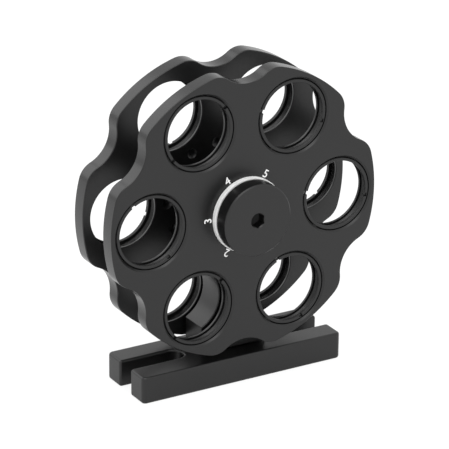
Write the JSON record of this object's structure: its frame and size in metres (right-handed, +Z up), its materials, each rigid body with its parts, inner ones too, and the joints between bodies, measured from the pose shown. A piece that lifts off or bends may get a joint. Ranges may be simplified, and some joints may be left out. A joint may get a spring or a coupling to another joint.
{
  "type": "optical filter wheel",
  "caption": "Free-standing filter wheel station: scalloped wheels with threaded filter bores click round on an upright over a slotted base.",
  "frame": {"origin": "on the surface that the base stands on, under the middle of the upright", "axes": "+Z up, Y along the wheels' axis with the front wheel on the -Y side, X along the base's length"},
  "size_m": [0.1028, 0.0416, 0.1119],
  "materials": {
    "anodised": "black anodised, fine matt",
    "ring": "black anodised, turned",
    "acetal": "white turned plastic",
    "bronze": "turned bearing bronze",
    "ball": "polished ball",
    "spring": "drawn wire",
    "screw": "black oxide"
  },
  "bodies": {
    "stand": {"base_plate": "anodised", "base_screw_left": "screw", "base_screw_right": "screw", "upright": "anodised", "detent_spring": "spring", "front_pivot_screw": "anodised", "front_thrust_spacer": "acetal", "front_inner_washer": "acetal", "rear_pivot_screw": "anodised", "rear_thrust_spacer": "acetal", "rear_inner_washer": "acetal"},
    "front_wheel_body": {"front_wheel": "anodised", "front_bushing": "bronze", "front_ring_1": "ring", "front_ring_2": "ring", "front_ring_3": "ring", "front_ring_4": "ring", "front_ring_5": "ring", "front_ring_6": "ring"},
    "rear_wheel_body": {"rear_wheel": "anodised", "rear_bushing": "bronze", "rear_ring_1": "ring", "rear_ring_2": "ring", "rear_ring_3": "ring", "rear_ring_4": "ring", "rear_ring_5": "ring", "rear_ring_6": "ring"},
    "front_ball_body": {"front_detent_ball": "ball"},
    "rear_ball_body": {"rear_detent_ball": "ball"}
  },
  "joints": [
    {"name": "front_wheel_spin", "type": "hinge", "parent": "stand", "child": "front_wheel_body", "pos_m": [0, 0, 0.0621], "axis": [0, 1, 0], "continuous": true},
    {"name": "rear_wheel_spin", "type": "hinge", "parent": "stand", "child": "rear_wheel_body", "pos_m": [0, 0, 0.0621], "axis": [0, 1, 0], "continuous": true},
    {"name": "front_ball_press", "type": "slide", "parent": "stand", "child": "front_ball_body", "axis": [0, 1, 0], "range_m": [0, 0.0007], "stiffness_N_per_m": 1500, "springref_m": -0.002, "deforming": ["detent_spring"]},
    {"name": "rear_ball_press", "type": "slide", "parent": "stand", "child": "rear_ball_body", "axis": [0, -1, 0], "range_m": [0, 0.0007], "stiffness_N_per_m": 1500, "springref_m": -0.002, "deforming": ["detent_spring"]}
  ]
}
